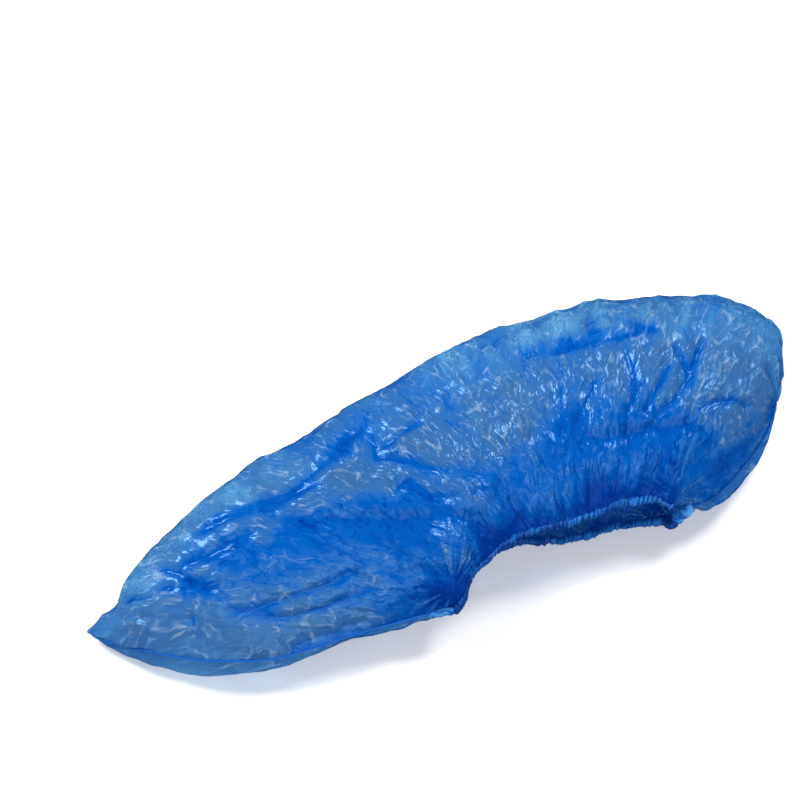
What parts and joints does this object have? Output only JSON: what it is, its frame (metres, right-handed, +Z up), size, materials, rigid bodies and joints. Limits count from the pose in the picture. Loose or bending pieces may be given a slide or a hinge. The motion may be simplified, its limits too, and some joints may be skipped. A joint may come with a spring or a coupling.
{
  "type": "disposable shoe cover",
  "caption": "Disposable thin-film shoe cover with an elastic gathered mouth, puffed and lying on its side.",
  "frame": {"origin": "middle of the cover's bounding box, on the surface that it lies on", "axes": "+X from the toe to the heel, +Y from the mouth to the sole fold, +Z up, square to the surface that it lies on"},
  "size_m": [0.3858, 0.1294, 0.0614],
  "materials": {
    "film": "thin blue embossed polyethylene film, translucent, glossy and finely crumpled",
    "gathered_film": "the same blue film in several layers, so deeper and less clear",
    "elastic": "pale latex thread, matt"
  },
  "bodies": {
    "root": {"film_bag": "film", "elastic_hem": "gathered_film", "elastic_band": "elastic", "toe_seal": "gathered_film", "heel_seal": "gathered_film"}
  },
  "joints": []
}
